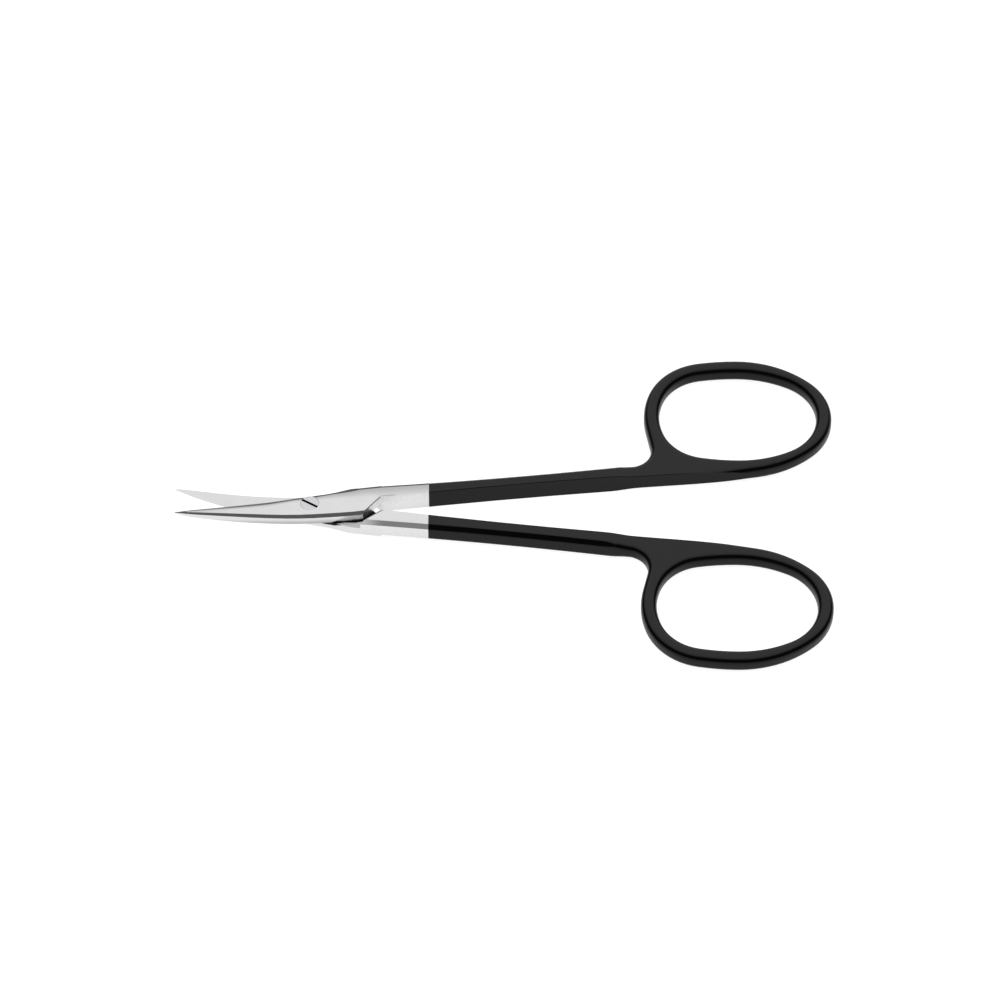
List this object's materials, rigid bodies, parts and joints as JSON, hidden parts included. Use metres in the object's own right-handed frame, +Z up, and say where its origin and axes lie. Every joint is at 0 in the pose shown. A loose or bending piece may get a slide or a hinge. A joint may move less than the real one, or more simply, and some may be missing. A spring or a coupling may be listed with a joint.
{
  "type": "surgical scissors",
  "caption": "Small curved surgical scissors with oval finger rings, black coated handles and a slotted pivot screw.",
  "frame": {"origin": "on the pivot screw's axis, in the flat back face of the joint", "axes": "+X from the screw towards the finger rings, +Z up towards the screw head, +Y towards the front half's finger ring"},
  "size_m": [0.1149, 0.0681, 0.0047],
  "materials": {
    "steel": "satin ground stainless steel, with a thin smooth black coat on the handles"
  },
  "bodies": {
    "rear": {"rear_half": "steel", "pivot_screw": "steel"},
    "front": {"front_half": "steel"}
  },
  "joints": [
    {"name": "pivot", "type": "hinge", "parent": "rear", "child": "front", "pos_m": [0, 0, 0.00195], "axis": [0, 0, 1], "range_deg": [-12, 60]}
  ]
}
